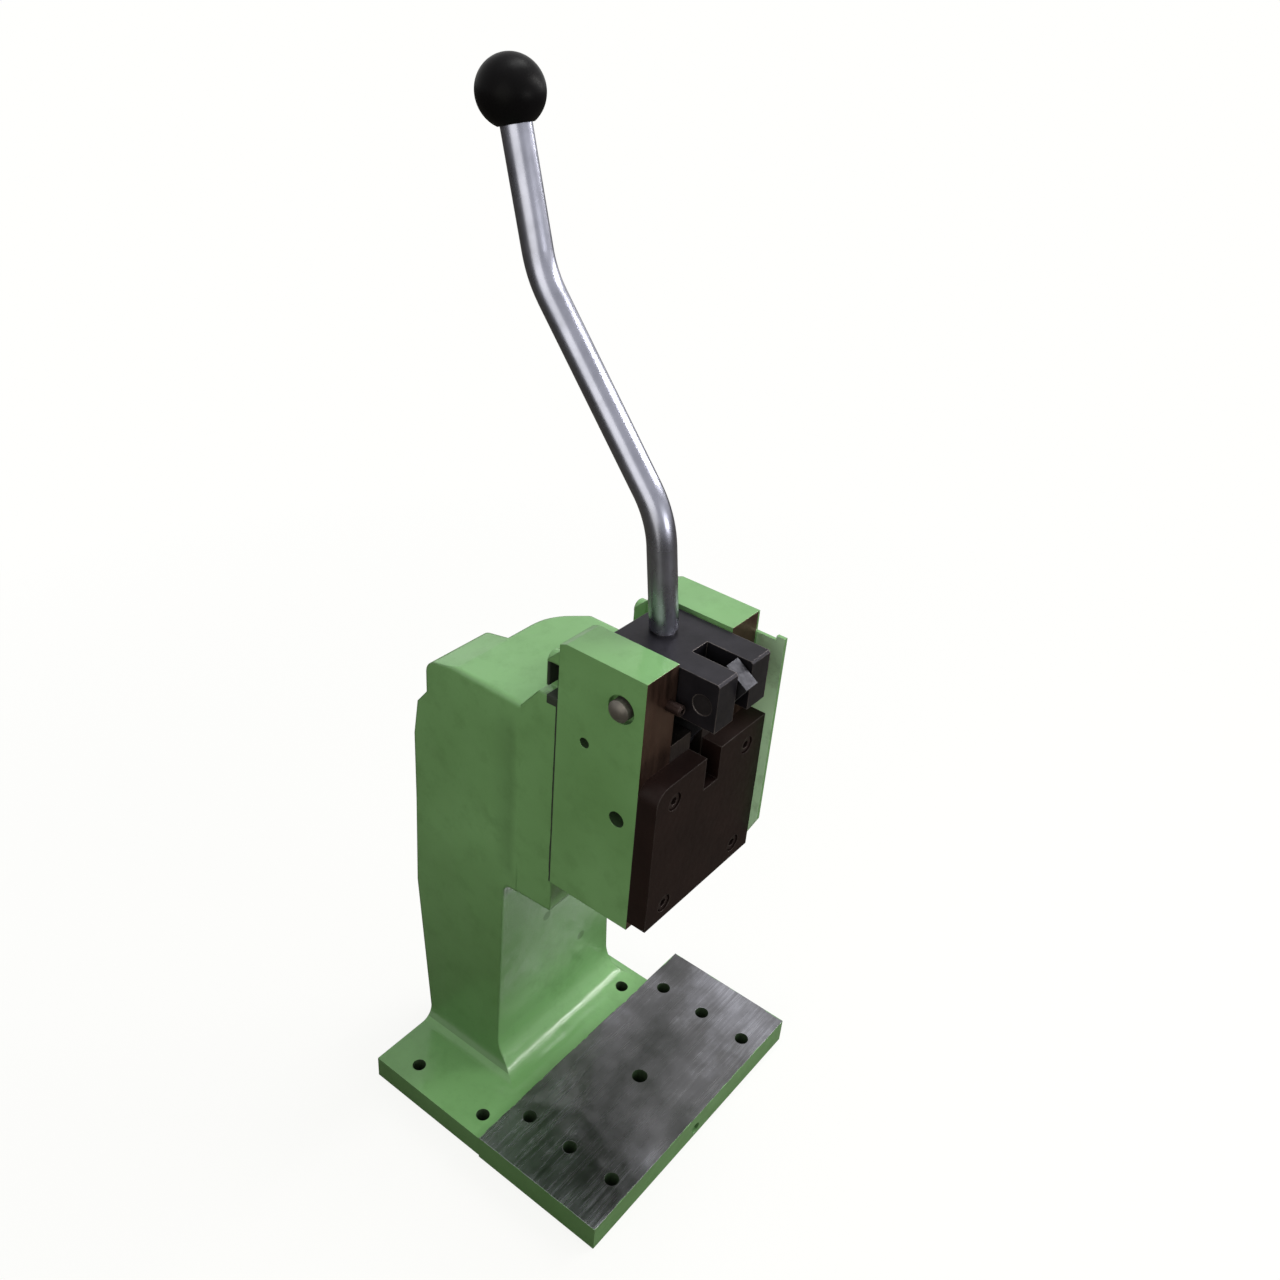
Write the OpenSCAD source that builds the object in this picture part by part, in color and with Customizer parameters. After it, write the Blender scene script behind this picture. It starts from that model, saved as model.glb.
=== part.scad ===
// Bench toggle press: a cast C-shaped frame, a ram between two cheeks, and a fork lever
// that pushes the ram down through a short link when its bent handle is pulled forward.
// The ram axis is X = 0, Y = 0. The base stands on Z = 0. The front is towards -Y.

/* [Table and base] */
// Width of the ground table
table_w = 262; // [240:1:300]
// Depth of the ground table, centred on the ram axis
table_d = 120; // [110:1:130]
// Thickness of the table
table_t = 24; // [20:0.5:30]
// Step from the table top down to the painted rear base
base_step = 3; // [1:0.5:5]
// Reach of the rear base to the left of the ram axis
base_left = 130; // [125:1:150]
// Margin of the rear base beyond the right side of the column's foot
base_margin = 1; // [0.5:0.5:30]
// Depth of the rear base behind the column's front face
base_behind = 78; // [72:1:90]
// Half the distance between the two rows of tapped holes in the table
table_hole_x = 90; // [80:1:110]
// Pitch of the tapped holes in a row
table_hole_pitch = 43; // [35:0.5:48]
// Diameter of the tapped holes
table_hole_d = 11.7; // [8:0.1:14]
// Diameter of the tool hole in the middle of the table
centre_hole_d = 13; // [10:0.1:20]
// Diameter of the cross hole that clamps a tool in the middle hole
cross_hole_d = 10; // [6:0.1:12]
// Depth of the cross hole below the table top
cross_hole_drop = 15.4; // [12:0.1:17]
// Diameter of the four holes that bolt the base down
base_hole_d = 11; // [8:0.5:13]
// Distance of the left base holes from the ram axis
base_hole_left = 112; // [108:1:118]
// Distance of the right base holes from the ram axis
base_hole_right = 68; // [66:1:72]
// Distance of the front base holes ahead of the column
base_hole_ahead = 27; // [24:1:28]
// Distance between the front and the rear base holes
base_hole_pitch = 74; // [70:1:78]

/* [Column] */
// Throat depth, from the ram axis to the column
throat_d = 101; // [95:1:130]
// Throat height, from the table top to the head
throat_h = 200; // [160:1:260]
// Depth of the column under the head
column_d = 94.5; // [88:0.5:105]
// Height at which the leaning rear face becomes upright, above the base
column_lean_h = 148; // [100:1:155]
// Spread of the column's left side at the foot, beyond the head
foot_spread_left = 4; // [1:0.5:6]
// Spread of the column's right side at the foot, beyond the head
foot_spread_right = 14; // [6:0.5:14.5]
// Radius of the hollow at the front of the foot
foot_r = 30; // [20:1:34]
// Radius of the hollows at the sides of the foot
foot_side_r = 12; // [8:1:13]
// Radius in the throat under the head
throat_r = 8; // [4:1:12]
// Sideways place of the step in the rear face, to the right of which the casting is less deep
rear_step_x = -6.5; // [-16:0.5:6]
// Depth of the column and head to the right of that step
right_d = 52; // [51:0.5:64]
// Radius of the rear right corner
corner_r = 45; // [30:1:50]
// Half the width of the hollow inside the column
core_half_w = 36; // [24:1:38]
// Wall between the hollow and the column's front face
core_wall = 15; // [12:1:20]
// Height of the hollow from the underside of the base
core_h = 350; // [200:1:360]

/* [Head] */
// Height of the head
head_h = 173; // [165:1:180]
// Distance of the head's front face behind the ram axis
head_front = 55.5; // [53:0.5:58]
// Length of the flat top behind the column's front plane
head_flat = 50; // [44:1:54]
// Drop of the sloped top behind the flat top
head_drop = 4; // [2:0.5:8]
// Distance of the head's rear face ahead of the column's
head_back_in = 14.5; // [12:0.5:18]
// Height of the head's rear face, from the flat top down to the jog
head_back_h = 34; // [28:1:60]
// Radius at the rear of the head
head_back_r = 12; // [8:1:15]
// Depth of the jog below the head's rear face
jog_d = 10; // [2:0.5:11]
// Height of the jog
jog_h = 13; // [6:1:20]
// Height over which the rear face runs out to the column's, below the jog
run_out_h = 32; // [10:1:60]
// Radius along the head's top edges
head_edge_r = 4; // [3:0.5:8]
// Height of the two lugs behind the cheeks, above the head
lug_h = 57; // [52:1:60]
// Depth of the two lugs
lug_d = 11; // [10.5:0.5:13]
// Bevel at the rear of the lugs
lug_bevel = 10; // [4:0.5:10]
// Length of the gusset behind each lug
gusset_l = 21.5; // [16:0.5:26]
// Height of the gussets
gusset_h = 27; // [20:0.5:30]
// Narrowing of each side of the head from the gusset's foot to the cheek
pad_draft = 1.5; // [0.5:0.5:3]
// Depth of the pocket in the outer side of each lug
pocket_d = 12; // [4:1:14]
// Height of the pocket
pocket_h = 27; // [20:0.5:30]
// Distance of the pocket below the lug's top
pocket_drop = 11; // [10.5:0.5:14]
// Thickness of the lip behind the pocket
pocket_lip = 2; // [1.5:0.5:4]

/* [Cheeks] */
// Thickness of a cheek
cheek_t = 33; // [30:1:36]
// Height of a cheek
cheek_h = 209; // [205:1:214]
// Height of the cheeks' lower end above the head's underside
cheek_rise = 30; // [24:1:34]
// Length of the shallow bevel at the rear of a cheek's top
cheek_bevel_l = 5.5; // [2:0.5:8]
// Height of that bevel
cheek_bevel_h = 2.3; // [1:0.1:4]
// Distance of the lever pivot below the cheeks' top
pivot_drop = 28; // [25:0.5:30]
// Distance of the lever pivot behind the ram axis
pivot_back = 3; // [1:0.5:5]
// Width of the sunk ring round the pivot pin
pivot_ring_w = 2.5; // [1.5:0.5:4]
// Depth of the sunk ring
pivot_ring_depth = 5; // [3:0.5:8]
// Reach of the pivot pin out of the left cheek, without its dome
pivot_proud = 3; // [0:0.5:4]
// Diameter of the hole that gives access to the ram pin
access_d = 12.6; // [11:0.1:14]
// Height of the access hole above the cheeks' lower end
access_rise = 92; // [85:1:98]
// Height of the cross dowels above the cheeks' lower end
dowel_rise = 140; // [132:1:146]
// Distance of the cross dowels behind the ram axis
dowel_back = 31; // [28:0.5:36]
// Diameter of the cross dowels
dowel_d = 8; // [6:0.5:10]
// Depth of the dowels' ends below the cheeks' faces
dowel_sunk = 6; // [3:0.5:8]

/* [Front plate] */
// Thickness of the front plate
plate_t = 16; // [14:0.5:20]
// Height of the front plate
plate_h = 122; // [116:1:126]
// Height of the plate's lower edge above the cheeks' lower end
plate_rise = 8; // [4:1:10]
// Radius of the plate's upper left corner
plate_r = 12; // [4:1:14]
// Gap beside the link in the notch, on each side
notch_gap = 2; // [1.5:0.5:3]
// Depth of the notch
notch_h = 27.5; // [25:0.5:34]
// Distance of the plate's screws from the middle of a cheek, inwards
plate_screw_in = 4; // [0:0.5:5]
// Distance of the upper screws below the plate's top
plate_screw_top = 17; // [14:0.5:22]
// Distance of the lower screws above the plate's lower edge
plate_screw_low = 13.5; // [12:0.5:18]

/* [Side plate] */
// Thickness of the side plate
side_t = 3; // [2:0.5:6]
// Reach of the side plate ahead of the ram axis
side_reach = 38.5; // [34:0.5:48]
// Height of the side plate's lower edge above the cheeks' lower end
side_rise = 10; // [4:1:16]
// Height of the side plate
side_h = 181.5; // [170:0.5:190]
// Height of the small step on the side plate's front end
side_step = 3.5; // [1:0.5:6]
// Length of the small step
side_step_l = 7; // [5:0.5:14]
// Length of the bevel at the lower front corner
side_bevel_l = 11; // [4:1:20]
// Height of that bevel
side_bevel_h = 25; // [10:1:40]

/* [Ram] */
// Depth of the ram, front to back
ram_d = 32; // [30:1:34]
// Width of the guide between the cheeks
guide_w = 60; // [56:1:64]
// Length of the ram
ram_l = 141.5; // [136:0.5:146]
// Height of the ram's lower end above the cheeks' lower end, handle up
ram_rise = 2; // [0:0.5:6]
// Sliding clearance on each face of the ram
ram_clear = 0.1; // [0.05:0.05:0.3]
// Diameter of the tool bore in the ram
tool_bore_d = 10; // [8:0.5:16]
// Depth of the tool bore
tool_bore_l = 30; // [20:1:40]
// Height of the tool clamp screw above the ram's lower end
tool_screw_rise = 13; // [10:0.5:16]
// Diameter of the ram pin
ram_pin_d = 10; // [8:0.5:12]
// Distance of the ram pin below the ram's top
ram_pin_drop = 14.7; // [12:0.1:18]

/* [Lever and link] */
// Gap between the lever block and a cheek
block_gap = 1; // [0.5:0.25:3]
// Height of the lever block above its pivot
block_top = 25; // [20:0.5:27]
// Depth of the fork arms below the pivot
block_low = 12; // [10:0.5:14]
// Reach of the fork arms ahead of the pivot
block_nose = 50; // [47:0.5:54]
// Reach of the lever block behind the pivot
block_tail = 39; // [34:0.5:44]
// Radius of the round hub under the pivot
hub_r = 17.5; // [14:0.5:18]
// Bevel on the upper edges of the fork arms
block_bevel = 1.5; // [0.5:0.1:2.5]
// Gap beside the link in the fork, on each side
fork_gap = 2; // [1:0.5:3]
// Distance from the pivot to the root of the fork
fork_root = 13.5; // [12:0.5:14]
// Diameter of the pivot pin
pivot_d = 16; // [12:0.5:17]
// Distance from the pivot to the link pin, ahead of it
crank_ahead = 38.4; // [36:0.1:40]
// Height of the link pin above the pivot, handle up
crank_rise = 5.2; // [3:0.1:7]
// Diameter of the link pin
link_pin_d = 15; // [10:0.5:16]
// Thickness of the link
link_t = 13; // [10:0.5:14]
// Width of the link's eye wall beside the upper pin
link_wall = 2.85; // [2:0.05:3.5]
// Length of the link beyond its upper pin
link_head = 17; // [14:0.5:19]
// Radius of the link's lower end
link_foot_r = 12.5; // [11:0.1:12.8]
// Distance of the link's lower eye behind the ram pin, handle up
eye_back = 2.54; // [2:0.01:3]
// Height of the link's lower eye above the ram pin, handle up
eye_rise = 0.63; // [0.2:0.01:1.2]
// Play of the link's lower eye round the ram pin, all round
eye_play = 2.9; // [2.8:0.1:3.1]

/* [Handle] */
// Diameter of the handle rod
rod_d = 20; // [16:0.5:22]
// Distance of the rod's foot behind the pivot
rod_back = 16; // [14:0.5:20]
// Lean of the rod's lower stretch
lean_low = 7.5; // [0:0.5:15]
// Lean of the rod's middle stretch
lean_mid = 39.5; // [25:0.5:50]
// Lean of the rod's upper stretch
lean_top = 15.8; // [0:0.1:25]
// Length from the lever block to the lower bend's corner
rod_low_l = 80; // [60:1:100]
// Length between the two bends' corners
rod_mid_l = 167.6; // [120:1:220]
// Length from the upper bend's corner to the middle of the knob
rod_top_l = 106; // [80:1:160]
// Radius of both bends
rod_bend_r = 70; // [50:1:100]
// Diameter of the knob
knob_d = 43; // [36:1:50]
// Rim of the knob's flat beyond the rod
knob_rim = 1.5; // [0.5:0.5:4]

/* [Hidden] */

$fn = 96;
// Running clearance of a pin in its bore
run_clear = 0.05;
// Clearance of a pressed pin or a screw in its hole
seat_clear = 0.02;
// Length by which a cut passes a face
over = 1;
// Share of a screw's diameter that its socket head is high
head_share = 1.0;
// Share of a screw's diameter that its socket head is wide
head_w_shares = 1.6;
// Share of a screw's diameter that its hexagon socket is wide, across the corners
socket_share = 0.86;
// Share of a screw head's height that its socket is deep
socket_depth_share = 0.55;
// Share of a screw's diameter that its head's edge is bevelled
head_edge_share = 0.08;
// Clearance round a screw head in its recess
head_clear = 0.5;

screw_plate_d = 8;
screw_side_d = 6;
screw_lower_d = 10;
screw_upper_d = 8;
set_screw_d = 8;
// Shares of a headless screw's diameter: width and depth of its socket, bevel of its ends
set_socket_share = 0.55;
set_depth_share = 0.6;
set_edge_share = 0.125;
// Length of a screw in the piece it is screwed into, and of the tapped holes
screw_grip = 18;
cheek_tap_l = 22;
side_grip = 11;
side_tap_l = 14;
frame_grip = 20;
frame_tap_l = 26;

guide_half = guide_w / 2;
cheek_out = guide_half + cheek_t;
cheek_mid = guide_half + cheek_t / 2;
head_half = cheek_out;
base_t = table_t - base_step;
base_back = throat_d + base_behind;
base_right = head_half + foot_spread_right + foot_side_r + base_margin;
head_z = table_t + throat_h;
head_top = head_z + head_h;
column_back = throat_d + column_d;
flat_end = throat_d + head_flat;
right_back = throat_d + right_d;
back_x = column_back - head_back_in;
back_c = [back_x - head_back_r, head_top - head_drop - head_back_r];
jog_z = head_top - head_back_h;
lug_top = head_top + lug_h;
lug_back = head_front + lug_d;
gusset_back = lug_back + gusset_l;
pocket_z = lug_top - pocket_drop - pocket_h;
// Centre of the rear right corner's radius, and the end of its arc
corner_c = [head_half - corner_r, right_back - corner_r];
corner_turn = 45;
corner_end = corner_c + corner_r * [cos(corner_turn), sin(corner_turn)];
cheek_z = head_z + cheek_rise;
cheek_top = cheek_z + cheek_h;
cheek_front = -ram_d / 2;
plate_z = cheek_z + plate_rise;
plate_top = plate_z + plate_h;
plate_front = cheek_front - plate_t;
plate_screw_x = cheek_mid - plate_screw_in;
notch_w = link_t + 2 * notch_gap;
side_z = cheek_z + side_rise;
pivot = [pivot_back, cheek_top - pivot_drop];
pivot_ring_d = pivot_d + 2 * pivot_ring_w;
block_w = guide_w - 2 * block_gap;
fork_w = link_t + 2 * fork_gap;
link_w = link_pin_d + 2 * link_wall;
knob_flat_d = rod_d + 2 * knob_rim;
crank = [pivot[0] - crank_ahead, pivot[1] + crank_rise];
ram_z = cheek_z + ram_rise;
ram_top = ram_z + ram_l;
ram_pin_z = ram_top - ram_pin_drop;
eye = [eye_back, ram_pin_z + eye_rise];
link_l = norm(crank - eye);
link_lean = atan2(eye[0] - crank[0], crank[1] - eye[1]);
eye_r = ram_pin_d / 2 + eye_play;
// Distance of the guide tongue's top below the lever's hub
tongue_drop = 8;
tongue_top = pivot[1] - hub_r - tongue_drop;
rod_foot = [pivot[0] + rod_back, pivot[1] + block_top];
// Stud at the rod's foot, and the height of the rod's shoulder above the block
stud_d = 16;
stud_l = 14;
stud_low = 2;
// Depth of the flat that the set screw bears on
stud_flat = 2;
knob_stud_d = 12;
knob_stud_l = 22;
// Loss of the rod's diameter in its bends
bend_thin = 0.04;
// Length by which a straight stretch runs into a bend
bend_in = 0.5;
rod_bend_low = rod_foot + rod_low_l * lean(lean_low);
rod_bend_top = rod_bend_low + rod_mid_l * lean(lean_mid);
knob_c = rod_bend_top + rod_top_l * lean(lean_top);
knob_flat = sqrt(pow(knob_d / 2, 2) - pow(knob_flat_d / 2, 2));
rod_top = knob_c - knob_flat * lean(lean_top);
// Height of the lower pair of cheek bolts above the cheeks' lower end, and their pitch
lower_bolt_rise = 44;
lower_bolt_pitch = 30;
lower_bolt_z = [cheek_z + lower_bolt_rise, cheek_z + lower_bolt_rise + lower_bolt_pitch];
lower_bolt_sunk = 14;
upper_bolt_z = cheek_top - pivot_drop;
// Heights of the front plate's screws, and the depth of their heads below its face
plate_screw_z = [plate_z + plate_screw_low, plate_top - plate_screw_top];
plate_screw_sunk = 1;
// Distances of the side plate's screws from the edges that they are nearest to
side_screw_front = 12;
side_screw_rear = 14;
side_screw_low = 12;
side_screw_top = 30;
// Place and reach of the screw that locks the pivot pin
lock_in = 7.5;
lock_x = -guide_half - lock_in;
lock_out = 11;
// Depth of the cross dowels in the guide tongue, and of their holes
dowel_grip = 14;
dowel_seat = 16;
// Lengths of the two tool clamp screws, and their distance from the bore they clamp in
anvil_screw_l = 30;
tool_screw_l = 8;
clamp_back = 1;
// Clearance beside the link and below its lower end in the ram's slot
slot_clear = 0.6;
slot_floor = 1;
ram_bevel = 1.5;
// Distance of the ends of the ram pin and of the link pin inside the piece that holds them
ram_pin_in = 1;
link_pin_in = 0.5;
// Height of the dome on the pivot pin, and its distance from the right cheek's face
dome_h = 3.5;
pivot_pin_in = 1;
// Height of the screw that holds the rod's stud, and its depth below the tail's face
rod_set_z = pivot[1] + block_top - stud_l / 2;
rod_set_sunk = 1.5;

// Unit direction in the Y-Z plane that leans back from the vertical by an angle
function lean(a) = [sin(a), cos(a)];
// Angle, seen from a circle's centre, at which a line from a point touches the circle
function touch_angle(p, c, r) = atan2(p[1] - c[1], p[0] - c[0]) - acos(r / norm(p - c));

// Extrudes a Y-Z outline along X between two X values
module along_x(x0, x1) {
    translate([x0, 0, 0])
        rotate([90, 0, 90])
            linear_extrude(x1 - x0) children();
}

// Extrudes an X-Z outline along Y between two Y values
module along_y(y0, y1) {
    translate([0, y1, 0])
        rotate([90, 0, 0])
            linear_extrude(y1 - y0) children();
}

// Cylinder along X through a Y-Z point
module bar_x(p, r, x0, x1) {
    translate([x0, p[0], p[1]])
        rotate([0, 90, 0])
            cylinder(r = r, h = x1 - x0);
}

// Cylinder along Y through an X-Z point
module bar_y(x, z, r, y0, y1) {
    translate([x, y0, z])
        rotate([-90, 0, 0])
            cylinder(r = r, h = y1 - y0);
}

// Hollow quarter that fills an inner corner; the corner points to the given signs
module inner_round(p, r, sx, sy) {
    translate(p)
        scale_sign(sx, sy)
            difference() {
                square(r);
                translate([r, r]) circle(r);
            }
}

// Mirrors a flat outline by the signs of two numbers
module scale_sign(sx, sy) {
    mirror([sx < 0 ? 1 : 0, 0]) mirror([0, sy < 0 ? 1 : 0]) children();
}

// Waste outside a rounded outer corner; the corner points to the given signs
module corner_waste(p, r, sx, sy) {
    translate(p)
        scale_sign(-sx, -sy)
            difference() {
                translate([-over, -over]) square(r + over);
                translate([r, r]) circle(r);
            }
}

// Socket head screw whose head top lies on Z = 0 and whose shank points down
module cap_screw(d, l) {
    head_r = d * head_w_shares / 2;
    head_l = d * head_share;
    edge = d * head_edge_share;
    difference() {
        union() {
            rotate_extrude()
                polygon([[0, 0], [head_r - edge, 0], [head_r, -edge], [head_r, -head_l], [0, -head_l]]);
            translate([0, 0, -head_l - l]) cylinder(d = d - seat_clear, h = l + edge);
        }
        translate([0, 0, -head_l * socket_depth_share]) cylinder(d = d * socket_share, h = head_l, $fn = 6);
    }
}

// Headless screw whose socket end lies on Z = 0 and whose shank points down
module set_screw(d, l) {
    edge = d * set_edge_share;
    difference() {
        rotate_extrude()
            polygon([[0, 0], [d / 2 - edge, 0], [d / 2, -edge], [d / 2, edge - l],
                [d / 2 - edge, -l], [0, -l]]);
        translate([0, 0, -d * set_depth_share]) cylinder(d = d * set_socket_share, h = d, $fn = 6);
    }
}

// Recess and hole for a socket head screw, open above Z = 0
module cap_hole(d, l, sunk) {
    translate([0, 0, -sunk]) cylinder(d = d * head_w_shares + 2 * head_clear, h = sunk + over);
    translate([0, 0, -sunk - l]) cylinder(d = d, h = l + over);
}

// Places children at the four holes of the base
module at_base_holes() {
    for (x = [-base_hole_left, base_hole_right], y = [0, base_hole_pitch])
        translate([x, throat_d - base_hole_ahead + y, 0]) children();
}

// Places children at the six tapped holes of the table
module at_table_holes() {
    for (x = [-table_hole_x, table_hole_x], i = [-1 : 1])
        translate([x, i * table_hole_pitch, 0]) children();
}

// Outline of the column and head from the side
module frame_side() {
    touch = touch_angle([flat_end, head_top], back_c, head_back_r);
    union() {
        polygon([
            [throat_d, 0],
            [throat_d, head_z],
            [head_front, head_z],
            [head_front, head_top],
            [flat_end, head_top],
            back_c + head_back_r * [cos(touch), sin(touch)],
            back_c,
            [back_x, back_c[1]],
            [back_x, jog_z],
            [back_x + jog_d, jog_z - jog_h],
            [column_back, jog_z - jog_h - run_out_h],
            [column_back, base_t + column_lean_h],
            [base_back, base_t],
            [base_back, 0]]);
        translate(back_c) circle(head_back_r);
        inner_round([throat_d, base_t], foot_r, -1, 1);
        inner_round([throat_d, head_z], throat_r, -1, -1);
    }
}

// Outline of the column and head from the front
module frame_face() {
    left = -head_half - foot_spread_left;
    right = head_half + foot_spread_right;
    difference() {
        union() {
            polygon([
                [left, 0],
                [left, base_t + foot_side_r],
                [-head_half, head_z + cheek_rise],
                [-head_half, head_top],
                [head_half, head_top],
                [head_half, head_z + cheek_rise],
                [right, base_t + foot_side_r],
                [right, 0]]);
            inner_round([left, base_t], foot_side_r, -1, 1);
            inner_round([right, base_t], foot_side_r, 1, 1);
        }
        corner_waste([-head_half, head_top], head_edge_r, -1, 1);
        corner_waste([head_half, head_top], head_edge_r, 1, 1);
    }
}

// Plan of what is cut away at the rear right
module corner_plan() {
    far = 4 * head_half;
    difference() {
        polygon([
            [rear_step_x, right_back],
            [corner_c[0], right_back],
            corner_end,
            corner_end + far * [1, -1],
            [far, far] * 2,
            [rear_step_x, 2 * far]]);
        translate(corner_c) circle(corner_r);
    }
}

// Plan of the hollow inside the column, one wall inside its faces
module core_plan() {
    front = throat_d + core_wall;
    right = right_back - core_wall;
    slant = corner_end[0] + corner_end[1] - core_wall * sqrt(2);
    step = rear_step_x - core_wall;
    back = base_back - core_wall;
    polygon([
        [-core_half_w, front],
        [core_half_w, front],
        [core_half_w, slant - core_half_w],
        [slant - right, right],
        [step, right],
        [step, back],
        [-core_half_w, back]]);
}

// Side view of a lug with its gusset
module lug_side() {
    polygon([
        [head_front, head_top - lug_h],
        [head_front, lug_top],
        [lug_back - lug_bevel, lug_top],
        [lug_back, lug_top - lug_bevel],
        [lug_back, head_top + gusset_h],
        [gusset_back, head_top],
        [gusset_back, head_top - lug_h]]);
}

// Side view of the pocket in a lug, with a foot that runs out through the gusset
module pocket_side() {
    lip = lug_back - pocket_lip;
    translate([head_front - over, pocket_z]) square([lip - head_front + over, pocket_h]);
    translate([lip - over, pocket_z])
        square([gusset_back - lip, head_top + gusset_h - pocket_z]);
}

// Plan of the thin wedge that narrows the left side of the head towards the cheek
module draft_plan() {
    polygon([
        [-head_half - over, head_front - over],
        [pad_draft - head_half, head_front - over],
        [pad_draft - head_half, head_front],
        [-head_half, gusset_back],
        [-head_half - over, gusset_back]]);
}

// Column and head with their lugs
module frame_upper() {
    far = 4 * head_half;
    difference() {
        union() {
            intersection() {
                along_x(-far, far) frame_side();
                along_y(head_front, column_back + over) frame_face();
            }
            for (x = [-cheek_out, guide_half])
                along_x(x, x + cheek_t) lug_side();
        }
        translate([0, 0, base_t]) linear_extrude(head_top) corner_plan();
        for (s = [0, 1])
            mirror([s, 0, 0]) {
                translate([0, 0, head_z - over]) linear_extrude(head_h + lug_h + 2 * over) draft_plan();
                along_x(-cheek_out - over, pocket_d - cheek_out) pocket_side();
            }
    }
}

// One casting: table, rear base, column, head, lugs and the guide tongue behind the ram
module frame_casting() {
    color([0.36, 0.58, 0.35])
        difference() {
            union() {
                translate([-table_w / 2, -table_d / 2, 0]) cube([table_w, table_d, table_t]);
                translate([-base_left, 0, 0]) cube([base_left + base_right, base_back, base_t]);
                frame_upper();
                translate([-guide_half, -cheek_front, cheek_z])
                    cube([guide_w, head_front + cheek_front + over, tongue_top - cheek_z]);
            }
            translate([0, 0, -over]) linear_extrude(core_h + over) core_plan();
            at_base_holes() translate([0, 0, -over]) cylinder(d = base_hole_d, h = table_t + 2 * over);
            at_table_holes() translate([0, 0, -over]) cylinder(d = table_hole_d, h = table_t + 2 * over);
            translate([0, 0, -over]) cylinder(d = centre_hole_d, h = table_t + 2 * over);
            bar_y(0, table_t - cross_hole_drop, cross_hole_d / 2, -table_d / 2 - over, 0);
            for (s = [-1, 1]) {
                for (z = lower_bolt_z)
                    bar_y(s * cheek_mid, z, screw_lower_d / 2, head_front - over, head_front + frame_tap_l);
                bar_y(s * cheek_mid, upper_bolt_z, screw_upper_d / 2 + seat_clear,
                    head_front - over, lug_back + over);
                bar_x([dowel_back, cheek_z + dowel_rise], dowel_d / 2,
                    s < 0 ? -guide_half - over : guide_half - dowel_seat,
                    s < 0 ? dowel_seat - guide_half : guide_half + over);
            }
        }
}

// Cheek on one side, s = -1 for the left and 1 for the right
module cheek(s) {
    x0 = s < 0 ? -cheek_out : guide_half;
    difference() {
        along_x(x0, x0 + cheek_t)
            polygon([
                [cheek_front, cheek_z],
                [head_front, cheek_z],
                [head_front, cheek_top - cheek_bevel_h],
                [head_front - cheek_bevel_l, cheek_top],
                [cheek_front, cheek_top]]);
        bar_x(pivot, pivot_d / 2 + seat_clear, x0 - over, x0 + cheek_t + over);
        bar_x([0, cheek_z + access_rise], access_d / 2, x0 - over, x0 + cheek_t + over);
        bar_x([dowel_back, cheek_z + dowel_rise], dowel_d / 2, x0 - over, x0 + cheek_t + over);
        for (z = lower_bolt_z)
            translate([s * cheek_mid, cheek_front, z])
                rotate([90, 0, 0])
                    cap_hole(screw_lower_d, head_front - cheek_front + over, lower_bolt_sunk);
        bar_y(s * cheek_mid, upper_bolt_z, screw_upper_d / 2, head_front - cheek_tap_l, head_front + over);
        for (z = plate_screw_z)
            bar_y(s * plate_screw_x, z, screw_plate_d / 2, cheek_front - over, cheek_front + cheek_tap_l);
        if (s < 0) {
            bar_x(pivot, pivot_ring_d / 2, x0 - over, x0 + pivot_ring_depth);
            bar_y(lock_x, pivot[1], set_screw_d / 2, cheek_front - over, pivot[0]);
        }
        if (s > 0)
            at_side_screws()
                translate([0, 0, -side_tap_l]) cylinder(d = screw_side_d, h = side_tap_l + over);
    }
}

// Places children at the side plate's screws, with their Z axis pointing out of the plate
module at_side_screws() {
    for (y = [cheek_front + side_screw_front, head_front - side_screw_rear],
        z = [side_z + side_screw_low, side_z + side_h - side_screw_top])
        translate([cheek_out, y, z]) rotate([0, 90, 0]) children();
}

module left_cheek() {
    color([0.38, 0.61, 0.37]) cheek(-1);
}

module right_cheek() {
    color([0.38, 0.61, 0.37]) cheek(1);
}

// Bolts that hold the cheeks' lower halves, sunk under the front plate
module lower_cheek_bolts() {
    color([0.2, 0.2, 0.21])
        for (s = [-1, 1], z = lower_bolt_z)
            translate([s * cheek_mid, cheek_front + lower_bolt_sunk - screw_lower_d * head_share, z])
                rotate([90, 0, 0])
                    cap_screw(screw_lower_d, head_front - cheek_front - lower_bolt_sunk + frame_grip);
}

// Bolts that pass through the lugs from behind into the cheeks
module upper_cheek_bolts() {
    color([0.2, 0.2, 0.21])
        for (s = [-1, 1])
            translate([s * cheek_mid, lug_back + screw_upper_d * head_share, upper_bolt_z])
                rotate([-90, 0, 0])
                    cap_screw(screw_upper_d, lug_d + screw_grip);
}

// Cross dowels between the cheeks and the guide tongue
module cheek_dowels() {
    inner = guide_half - dowel_grip;
    color([0.5, 0.5, 0.52])
        for (s = [-1, 1])
            bar_x([dowel_back, cheek_z + dowel_rise], dowel_d / 2 - seat_clear,
                s < 0 ? dowel_sunk - cheek_out : inner, s < 0 ? -inner : cheek_out - dowel_sunk);
}

// Black plate that closes the guide at the front, with a notch for the link
module front_plate() {
    color([0.13, 0.1, 0.09])
        difference() {
            along_y(plate_front, cheek_front)
                difference() {
                    translate([-cheek_out, plate_z]) square([2 * cheek_out, plate_h]);
                    corner_waste([-cheek_out, plate_top], plate_r, -1, 1);
                    translate([-notch_w / 2, plate_top - notch_h]) square([notch_w, notch_h + over]);
                }
            for (x = [-plate_screw_x, plate_screw_x], z = plate_screw_z)
                translate([x, plate_front, z])
                    rotate([90, 0, 0])
                        cap_hole(screw_plate_d, plate_t + over,
                            screw_plate_d * head_share + plate_screw_sunk);
        }
}

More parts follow.
